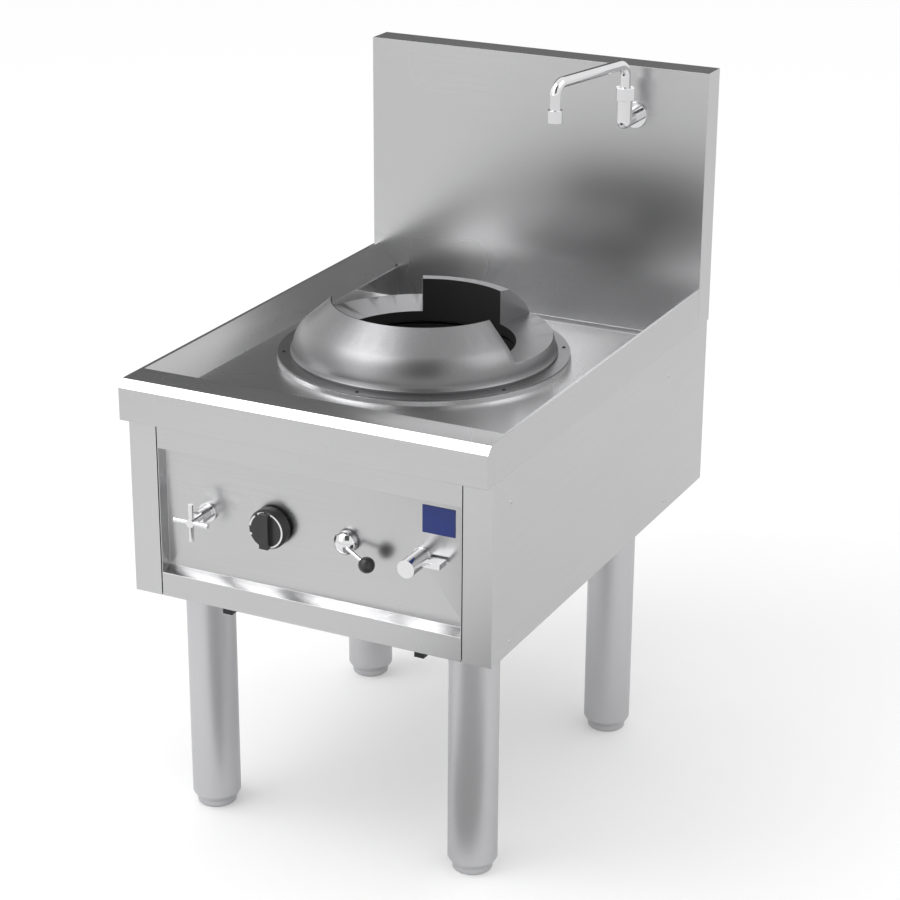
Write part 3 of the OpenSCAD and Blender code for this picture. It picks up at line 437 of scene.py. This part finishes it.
def new_geometry_tree(name: str, inputs: Sequence[tuple[str, str, object]]) -> bpy.types.NodeTree:
    """Makes a geometry tree with named inputs and one Geometry output.

    Args:
        name: The tree's name.
        inputs: Name, socket type and default value of each input.

    Returns:
        The tree, with one input and one output node.
    """
    tree = bpy.data.node_groups.new(name, "GeometryNodeTree")
    tree.interface.new_socket("Geometry", in_out="INPUT", socket_type="NodeSocketGeometry")
    for label, kind, default in inputs:
        socket = tree.interface.new_socket(label, in_out="INPUT", socket_type=kind)
        if default is not None:
            socket.default_value = default
    tree.interface.new_socket("Geometry", in_out="OUTPUT", socket_type="NodeSocketGeometry")
    tree.nodes.new("NodeGroupInput").name = "in"
    tree.nodes.new("NodeGroupOutput").name = "out"
    return tree


def finish_tree(tree: bpy.types.NodeTree, geometry: bpy.types.NodeSocket) -> None:
    """Ends a tree in Realize Instances and Set Material."""
    realize = tree.nodes.new("GeometryNodeRealizeInstances")
    paint = tree.nodes.new("GeometryNodeSetMaterial")
    tree.links.new(geometry, realize.inputs["Geometry"])
    tree.links.new(realize.outputs["Geometry"], paint.inputs["Geometry"])
    tree.links.new(tree.nodes["in"].outputs["Material"], paint.inputs["Material"])
    tree.links.new(paint.outputs["Geometry"], tree.nodes["out"].inputs["Geometry"])


def circle_pattern_tree() -> bpy.types.NodeTree:
    """Builds the tree that sets a part round a circle.

    Returns:
        A tree with the inputs Part, Count, Ring Radius, Start Angle, Centre and Material.
    """
    tree = new_geometry_tree("circle_pattern", [
        ("Part", "NodeSocketObject", None), ("Count", "NodeSocketInt", 6),
        ("Ring Radius", "NodeSocketFloat", 0.2), ("Start Angle", "NodeSocketFloat", 0.0),
        ("Centre", "NodeSocketVector", (0.0, 0.0, 0.0)), ("Material", "NodeSocketMaterial", None)])
    nodes, links = tree.nodes, tree.links
    source = nodes["in"].outputs
    circle = nodes.new("GeometryNodeMeshCircle")
    links.new(source["Count"], circle.inputs["Vertices"])
    links.new(source["Ring Radius"], circle.inputs["Radius"])
    turn = nodes.new("ShaderNodeCombineXYZ")
    links.new(source["Start Angle"], turn.inputs["Z"])
    placed = nodes.new("GeometryNodeTransform")
    links.new(circle.outputs["Mesh"], placed.inputs["Geometry"])
    links.new(source["Centre"], placed.inputs["Translation"])
    links.new(turn.outputs["Vector"], placed.inputs["Rotation"])
    info = nodes.new("GeometryNodeObjectInfo")
    links.new(source["Part"], info.inputs["Object"])
    scatter = nodes.new("GeometryNodeInstanceOnPoints")
    links.new(placed.outputs["Geometry"], scatter.inputs["Points"])
    links.new(info.outputs["Geometry"], scatter.inputs["Instance"])
    finish_tree(tree, scatter.outputs["Instances"])
    return tree


def wall_grid_tree() -> bpy.types.NodeTree:
    """Builds the tree that sets a part at the four corners of an upright rectangle that faces along X.

    Returns:
        A tree with the inputs Part, Length, Height, Centre, Turn and Material.
    """
    tree = new_geometry_tree("wall_grid", [
        ("Part", "NodeSocketObject", None), ("Length", "NodeSocketFloat", 0.5),
        ("Height", "NodeSocketFloat", 0.2), ("Centre", "NodeSocketVector", (0.0, 0.0, 0.0)),
        ("Turn", "NodeSocketFloat", math.pi / 2), ("Material", "NodeSocketMaterial", None)])
    nodes, links = tree.nodes, tree.links
    source = nodes["in"].outputs
    grid = nodes.new("GeometryNodeMeshGrid")
    grid.inputs["Vertices X"].default_value = 2
    grid.inputs["Vertices Y"].default_value = 2
    links.new(source["Height"], grid.inputs["Size X"])
    links.new(source["Length"], grid.inputs["Size Y"])
    turn = nodes.new("ShaderNodeCombineXYZ")
    links.new(source["Turn"], turn.inputs["Y"])
    placed = nodes.new("GeometryNodeTransform")
    links.new(grid.outputs["Mesh"], placed.inputs["Geometry"])
    links.new(source["Centre"], placed.inputs["Translation"])
    links.new(turn.outputs["Vector"], placed.inputs["Rotation"])
    info = nodes.new("GeometryNodeObjectInfo")
    links.new(source["Part"], info.inputs["Object"])
    to_rotation = nodes.new("FunctionNodeEulerToRotation")
    links.new(turn.outputs["Vector"], to_rotation.inputs["Euler"])
    scatter = nodes.new("GeometryNodeInstanceOnPoints")
    links.new(placed.outputs["Geometry"], scatter.inputs["Points"])
    links.new(info.outputs["Geometry"], scatter.inputs["Instance"])
    links.new(to_rotation.outputs["Rotation"], scatter.inputs["Rotation"])
    finish_tree(tree, scatter.outputs["Instances"])
    return tree


def grown(tree: bpy.types.NodeTree, name: str, settings: dict[str, object]) -> bpy.types.Mesh:
    """Runs a geometry tree and keeps its result as a plain mesh.

    Args:
        tree: The geometry tree.
        name: The new mesh's name.
        settings: The value of each named input.

    Returns:
        The evaluated mesh.
    """
    carrier = bpy.data.objects.new(name + "_carrier", bpy.data.meshes.new(name + "_start"))
    bpy.context.scene.collection.objects.link(carrier)
    modifier = carrier.modifiers.new("grow", "NODES")
    modifier.node_group = tree
    sockets = {item.name: item.identifier for item in tree.interface.items_tree if item.in_out == "INPUT"}
    for label, value in settings.items():
        modifier[sockets[label]] = value
    bpy.context.view_layer.update()
    evaluated = carrier.evaluated_get(bpy.context.evaluated_depsgraph_get())
    mesh = bpy.data.meshes.new_from_object(evaluated)
    mesh.name = name
    bpy.data.objects.remove(carrier)
    shade_by_angle(mesh)
    return mesh


# The finishes of the range

STAINLESS = Finish("stainless_across", (0.575, 0.575, 0.58), roughness=(0.25, 0.29), grain=Grain.ALONG_X,
                   shade=0.05, relief=0.03)
STAINLESS_DEEP = Finish("stainless_along", (0.60, 0.60, 0.605), roughness=(0.28, 0.33), grain=Grain.ALONG_Y,
                        shade=0.05, relief=0.03)
TUBE_STEEL = Finish("tube_steel", (0.56, 0.56, 0.57), roughness=(0.22, 0.27), grain=Grain.ALONG_Z,
                    shade=0.06, relief=0.03)
CHROME = Finish("bright_chrome", (0.80, 0.80, 0.81), roughness=(0.06, 0.10), grain=Grain.PLAIN, shade=0.04)
RING_IRON = Finish("turned_ring_iron", (0.24, 0.24, 0.245), metallic=0.95, roughness=(0.33, 0.39),
                   grain=Grain.CAST, shade=0.10, relief=0.08, cloud_scale=14.0)
BURNER_IRON = Finish("sooty_burner_iron", (0.045, 0.043, 0.042), metallic=0.4, roughness=(0.62, 0.75),
                     grain=Grain.CAST, shade=0.5, relief=0.5, cloud_scale=20.0,
                     soot=Soot((0.0, RING_CENTRE_Y, 0.70), 0.35, (0.014, 0.013, 0.013)))
BRASS = Finish("bare_brass", (0.60, 0.43, 0.19), roughness=(0.28, 0.40), grain=Grain.PLAIN, shade=0.25)
COPPER = Finish("bare_copper", (0.55, 0.27, 0.16), roughness=(0.28, 0.42), grain=Grain.PLAIN, shade=0.3)
BLACK_MOULDED = Finish("black_moulded", (0.030, 0.030, 0.032), metallic=0.0, roughness=(0.32, 0.42),
                       grain=Grain.CAST, shade=0.25, relief=0.06)
SCALE_WHITE = Finish("scale_white", (0.82, 0.82, 0.80), metallic=0.0, roughness=(0.45, 0.55),
                     grain=Grain.PLAIN, shade=0.05)
BLUE_ENAMEL = Finish("blue_enamel", (0.0025, 0.024, 0.21), metallic=0.0, roughness=(0.45, 0.50),
                     grain=Grain.PLAIN, shade=0.18, coat=0.15)
BLACK_STEEL = Finish("black_steel", (0.05, 0.05, 0.052), metallic=0.8, roughness=(0.35, 0.45),
                     grain=Grain.CAST, shade=0.3)


@dataclass
class SheetWork:
    """The bent stainless sheets of the worktop, the backsplash and the body."""

    edge: float = 0.6 * MM
    small_edge: float = 0.3 * MM
    across: tuple[str, ...] = ("worktop", "rear_gutter", "gutter_cove", "splash_front", "control_panel",
                               "base_plate", "back_panel", "burner_collar")
    along: tuple[str, ...] = ("splash_shell", "side_panel_left", "side_panel_right")
    plain: tuple[str, ...] = ("gutter_strainer", "leg_sockets", "burner_bracket", "drain_pipe")

    def dress(self) -> None:
        """Rounds the sheets' edges, brushes them and adds the blue plate and the clips."""
        for node in self.across:
            softened(node, STAINLESS, self.edge)
        for node in self.along:
            softened(node, STAINLESS_DEEP, self.edge)
        for node in self.plain:
            coat_node(node, STAINLESS)
        softened("badge_plate", BLUE_ENAMEL, self.small_edge)
        softened("underside_clips", BLACK_STEEL, self.small_edge)


@dataclass
class SideScrews:
    """The small domed screws that hold the body's sides."""

    head_radius: float = 3.5 * MM
    head_height: float = 1.0 * MM
    recess_radius: float = 1.4 * MM
    recess_depth: float = 0.5 * MM
    root_share: float = 0.5
    brow_radius_share: float = 0.85
    brow_height_share: float = 0.7
    steps: int = 20

    def _head(self) -> bpy.types.Object:
        """Returns a loose domed head with a round drive recess."""
        radius, height = self.head_radius, self.head_height
        floor = height - self.recess_depth
        outline = [(0.0, -height), (radius * self.root_share, -height), (radius, 0.0),
                   (radius * self.brow_radius_share, height * self.brow_height_share),
                   (self.recess_radius, height), (self.recess_radius, floor), (0.0, floor)]
        head = bpy.data.objects.new("screw_head", mesh_of(turned(outline, self.steps), "screw_head"))
        bpy.context.scene.collection.objects.link(head)
        return head

    def dress(self) -> None:
        """Sets four heads on each side."""
        low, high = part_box("side_screws")
        middle = (low + high) / 2
        panel_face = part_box("side_panel_right")[1].x
        head = self._head()
        tree = wall_grid_tree()
        parts = bmesh.new()
        for side in Side:
            parts.from_mesh(grown(tree, f"screws_{side.name.lower()}", {
                "Part": head,
                "Length": high.y - low.y - 2 * self.head_radius,
                "Height": high.z - low.z - 2 * self.head_radius,
                "Centre": (side.value * panel_face, middle.y, middle.z),
                "Turn": side.value * math.pi / 2,
                "Material": TUBE_STEEL.material()}))
        bpy.data.objects.remove(head)
        publish(mesh_of(parts, "side_screw_heads"), "side_screw_heads", ROOT_BODY, TUBE_STEEL,
                ["side_screws"])


@dataclass
class Legs:
    """The four tubular legs with their tapered plugs and feet."""

    corners: tuple[str, ...] = ("front_left", "front_right", "rear_left", "rear_right")
    tube_edge: float = 0.3 * MM
    foot_edge: float = 0.6 * MM
    plug_edge: float = 0.4 * MM

    def dress(self) -> None:
        """Polishes the tubes and rounds the feet."""
        for corner in self.corners:
            softened("leg_" + corner, TUBE_STEEL, self.tube_edge)
            softened("foot_" + corner, TUBE_STEEL, self.foot_edge)
        softened("leg_plugs", TUBE_STEEL, self.plug_edge)


@dataclass
class BurnerRing:
    """The lift-off ring, its bolted flange and the burner below."""

    ring_edge: float = 0.8 * MM
    casting_edge: float = 0.6 * MM
    pilot_edge: float = 0.4 * MM
    bore_radius: float = 142.0 * MM
    bolt_count: int = 6
    bolt_inset: float = 9.0 * MM
    bolt_radius: float = 3.0 * MM
    bolt_height: float = 1.0 * MM
    shank_share: float = 0.6
    brow_share: float = 0.8
    rim_share: float = 0.5
    socket_radius: float = 1.6 * MM
    socket_floor_share: float = 0.2
    bolt_steps: int = 24
    dark_nodes: tuple[str, ...] = ("combustion_bowl", "bowl_floor", "bowl_rim", "burner_head",
                                   "burner_stem")

    def dress(self) -> None:
        """Dresses the ring, the flange, the bolts and the burner."""
        self._blacken_bore(softened("wok_ring", RING_IRON, self.ring_edge))
        softened("ring_flange", RING_IRON, self.casting_edge)
        for node in self.dark_nodes:
            softened(node, BURNER_IRON, self.casting_edge)
        softened("pilot_burner", BRASS, self.pilot_edge)
        self._bolts()

    def _blacken_bore(self, ring: bpy.types.Object) -> None:
        """Gives the faces of the ring's bore the burner's black iron."""
        low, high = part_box("wok_ring")
        centre = ((low + high) / 2).xy
        ring.data.materials.append(BURNER_IRON.material())
        for face in ring.data.polygons:
            if (face.center.xy - centre).length < self.bore_radius + MM:
                face.material_index = 1

    def _bolts(self) -> None:
        """Sets the button-headed bolts round the flange."""
        low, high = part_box("ring_flange")
        middle = (low + high) / 2
        radius, height, socket = self.bolt_radius, self.bolt_height, self.socket_radius
        shank = radius * self.shank_share
        floor = height * self.socket_floor_share
        outline = [(0.0, -2 * height), (shank, -2 * height), (shank, 0.0), (radius, 0.0),
                   (radius, height * self.rim_share), (radius * self.brow_share, height),
                   (socket, height), (socket, floor), (0.0, floor)]
        head = bpy.data.objects.new("bolt_head", mesh_of(turned(outline, self.bolt_steps), "bolt_head"))
        bpy.context.scene.collection.objects.link(head)
        mesh = grown(circle_pattern_tree(), "flange_bolt_heads", {
            "Part": head,
            "Count": self.bolt_count,
            "Ring Radius": (high.x - low.x) / 2 - self.bolt_inset,
            "Start Angle": math.pi / self.bolt_count,
            "Centre": (middle.x, middle.y, high.z),
            "Material": BLACK_STEEL.material()})
        bpy.data.objects.remove(head)
        publish(mesh, "flange_bolt_heads", ROOT_BODY, BLACK_STEEL, ["flange_bolts"])


@dataclass
class Controls:
    """The four controls on the recessed panel and the valves behind it.

    Each arc of the knob's scale has its start and end, clockwise from the top, and its width.
    """

    fine_steps: int = 3
    knob_edge: float = 1.2 * MM
    ball_edge: float = 0.2 * MM
    chrome_edge: float = 0.8 * MM
    valve_edge: float = 0.5 * MM
    knob_grip_height: float = 8.0 * MM
    arc_thick: float = 0.25 * MM
    arc_radius_share: float = 0.86
    chrome_nodes: tuple[str, ...] = ("tap_handle", "lever_handle", "wing_knob", "knob_bezel")
    plated_valves: tuple[str, ...] = ("tap_valve", "lever_valve", "wing_valve")
    arcs: tuple[tuple[float, float, float], ...] = (
        (8.0, 172.0, 2.6 * MM), (278.0, 318.0, 2.6 * MM),
        (330.0, 354.0, 3.6 * MM), (246.0, 254.0, 2.6 * MM))

    def dress(self) -> None:
        """Dresses the knob, the handles and the valves."""
        softened("gas_knob", BLACK_MOULDED, self.knob_edge, self.fine_steps)
        softened("lever_ball", BLACK_MOULDED, self.ball_edge)
        for node in self.chrome_nodes:
            softened(node, CHROME, self.chrome_edge, self.fine_steps)
        for node in self.plated_valves:
            softened(node, CHROME, self.valve_edge)
        coat_node("gas_valve", BRASS)
        coat_node("gas_spindle", TUBE_STEEL)
        self._scale()

    def _scale(self) -> None:
        """Lays the white arcs of the gas scale on the knob's face."""
        low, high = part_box("gas_knob")
        radius = self.arc_radius_share * (high.x - low.x) / 2
        centre = (low + high) / 2
        centre.y = low.y + self.knob_grip_height
        joined = bmesh.new()
        for start, end, width in self.arcs:
            strip = mesh_of(arc_strip(radius, width, start, end, self.arc_thick), "arc")
            joined.from_mesh(strip)
            bpy.data.meshes.remove(strip)
        joined.transform(Matrix.Translation(centre))
        publish(mesh_of(joined, "knob_scale"), "knob_scale", "gas_knob", SCALE_WHITE)


@dataclass
class SwingSpout:
    """The chrome spout with its elbow, nut, rosette and nozzle."""

    nodes: tuple[str, ...] = ("spout_elbow", "spout_rosette", "swivel_nut", "spout_nozzle", "spout_tube")
    edge: float = 0.5 * MM
    fine_steps: int = 3

    def dress(self) -> None:
        """Plates the spout's pieces."""
        for node in self.nodes:
            softened(node, CHROME, self.edge, self.fine_steps)


@dataclass
class Pipework:
    """The gas and water pipes inside the body."""

    gas_pipes: tuple[str, ...] = ("gas_supply_pipe", "burner_pipe")
    water_pipes: tuple[str, ...] = ("water_pipe", "spout_feed_pipe")
    edge: float = 0.3 * MM

    def dress(self) -> None:
        """Gives the pipes their metals."""
        for node in self.gas_pipes:
            softened(node, BRASS, self.edge)
        for node in self.water_pipes:
            softened(node, COPPER, self.edge)


# The studio


def flat_sheet(name: str, width: float, height: float) -> bpy.types.Object:
    """Makes a flat rectangle round the origin, facing up.

    Args:
        name: The rectangle's name.
        width: Its size along X.
        height: Its size along Y.

    Returns:
        The new object, which is in the scene.
    """
    w, h = width / 2, height / 2
    mesh = bpy.data.meshes.new(name)
    mesh.from_pydata([(-w, -h, 0), (w, -h, 0), (w, h, 0), (-w, h, 0)], [], [(0, 1, 2, 3)])
    sheet = bpy.data.objects.new(name, mesh)
    bpy.context.scene.collection.objects.link(sheet)
    return sheet


def facing(place: Point, aim: Point) -> Matrix:
    """Returns the matrix that sets a thing down at a place with its -Z side towards its aim."""
    away = Vector(place) - Vector(aim)
    return Matrix.Translation(place) @ away.to_track_quat("Z", "Y").to_matrix().to_4x4()


@dataclass
class Card:
    """A studio card that only mirrors see: bright as a softbox or dark as a flag."""

    name: str
    centre: Point
    aim: Point
    width: float
    height: float
    strength: float

    def place(self) -> None:
        """Sets the card up facing its aim."""
        card = flat_sheet(self.name, self.width, self.height)
        card.matrix_world = facing(self.centre, self.aim)
        made = bpy.data.materials.new(self.name)
        made.use_nodes = True
        nodes, links = made.node_tree.nodes, made.node_tree.links
        nodes.clear()
        glow = nodes.new("ShaderNodeEmission")
        glow.inputs["Strength"].default_value = self.strength
        out = nodes.new("ShaderNodeOutputMaterial")
        links.new(glow.outputs["Emission"], out.inputs["Surface"])
        card.data.materials.append(made)
        card.visible_camera = False
        card.visible_diffuse = False
        card.visible_shadow = False
        card.visible_transmission = False


@dataclass
class Studio:
    """A pale floor, a white surround, soft light and the camera."""

    camera_place: Point = (1.63264, -3.21032, 1.94088)
    camera_right: Point = (0.89446, 0.44713, 0.00509)
    camera_down: Point = (0.16710, -0.32367, -0.93130)
    camera_ahead: Point = (-0.41476, 0.83386, -0.36422)
    lens_mm: float = 98.0
    sensor_mm: float = 36.0
    far_end: float = 100.0
    floor_size: float = 60.0
    floor_tone: float = 0.86
    floor_roughness: float = 0.9
    floor_lift: float = 0.16
    surround: float = 0.95
    key_power: float = 30.0
    key_width: float = 2.2
    key_height: float = 1.6
    key_place: Point = (-1.4, -1.2, 3.2)
    key_aim: Point = (0.0, 0.0, 0.6)
    deck: Point = (0.0, 0.0, 0.7)

    def build(self) -> None:
        """Builds the whole studio."""
        self._camera()
        self._floor()
        self._world()
        self._key()
        for card in self._cards():
            card.place()

    def _camera(self) -> None:
        """Sets the camera where the photograph was taken from."""
        data = bpy.data.cameras.new("camera")
        data.lens = self.lens_mm
        data.sensor_width = self.sensor_mm
        data.clip_end = self.far_end
        camera = bpy.data.objects.new("camera", data)
        bpy.context.scene.collection.objects.link(camera)
        right, up, back = Vector(self.camera_right), -Vector(self.camera_down), -Vector(self.camera_ahead)
        turn = Matrix((right, up, back)).transposed().to_4x4()
        camera.matrix_world = Matrix.Translation(self.camera_place) @ turn
        bpy.context.scene.camera = camera

    def _floor(self) -> None:
        """Lays a pale floor that shows the range's shadow and is white elsewhere."""
        floor = flat_sheet("floor", self.floor_size, self.floor_size)
        made = bpy.data.materials.new("floor")
        made.use_nodes = True
        nodes, links = made.node_tree.nodes, made.node_tree.links
        shader = nodes["Principled BSDF"]
        shader.inputs["Base Color"].default_value = (self.floor_tone, self.floor_tone, self.floor_tone, 1.0)
        shader.inputs["Roughness"].default_value = self.floor_roughness
        shader.inputs["Specular IOR Level"].default_value = 0.0
        path = nodes.new("ShaderNodeLightPath")
        lift = nodes.new("ShaderNodeMath")
        lift.operation = "MULTIPLY"
        lift.inputs[1].default_value = self.floor_lift
        links.new(path.outputs["Is Camera Ray"], lift.inputs[0])
        shader.inputs["Emission Color"].default_value = (1.0, 1.0, 1.0, 1.0)
        links.new(lift.outputs["Value"], shader.inputs["Emission Strength"])
        floor.data.materials.append(made)

    def _world(self) -> None:
        """Surrounds the range with white light."""
        world = bpy.data.worlds.new("studio")
        world.use_nodes = True
        light = world.node_tree.nodes["Background"]
        light.inputs["Color"].default_value = (1.0, 1.0, 1.0, 1.0)
        light.inputs["Strength"].default_value = self.surround
        bpy.context.scene.world = world

    def _key(self) -> None:
        """Hangs one large soft lamp above the front left."""
        data = bpy.data.lights.new("key", "AREA")
        data.shape = "RECTANGLE"
        data.size = self.key_width
        data.size_y = self.key_height
        data.energy = self.key_power
        key = bpy.data.objects.new("key", data)
        bpy.context.scene.collection.objects.link(key)
        key.matrix_world = facing(self.key_place, self.key_aim)

    def _cards(self) -> list[Card]:
        """Returns the cards that shape the reflections; the low flag lies flat before the front legs."""
        low_place, under_floor = (0.35, -0.85, 0.01), (0.35, -0.85, -1.0)
        return [
            Card("flag_behind", (-1.45, 2.6, 1.85), self.deck, 3.2, 2.2, 0.13),
            Card("flag_front_right", (0.9, -2.1, 2.7), self.deck, 1.9, 2.4, 0.10),
            Card("softbox_above", (-1.5, -1.7, 3.0), self.deck, 2.0, 2.0, 2.6),
            Card("softbox_front_left", (-1.4, -2.5, 1.75), self.deck, 1.5, 1.3, 2.2),
            Card("softbox_left", (-2.7, 0.9, 1.25), self.deck, 1.4, 1.2, 1.4),
            Card("softbox_right", (2.1, 0.3, 2.7), self.deck, 1.6, 1.6, 2.6),
            Card("flag_low", low_place, under_floor, 0.9, 0.9, 0.30),
        ]


def main() -> None:
    """Dresses every node, adds the details and builds the studio."""
    logging.basicConfig(level=logging.INFO)
    brushed_grain_group()
    heat_stain_group()
    for assembly in (SheetWork(), SideScrews(), Legs(), BurnerRing(), Controls(), SwingSpout(), Pipework()):
        assembly.dress()
    Studio().build()
    bpy.context.scene.view_settings.view_transform = "Standard"


if __name__ == "__main__":
    main()
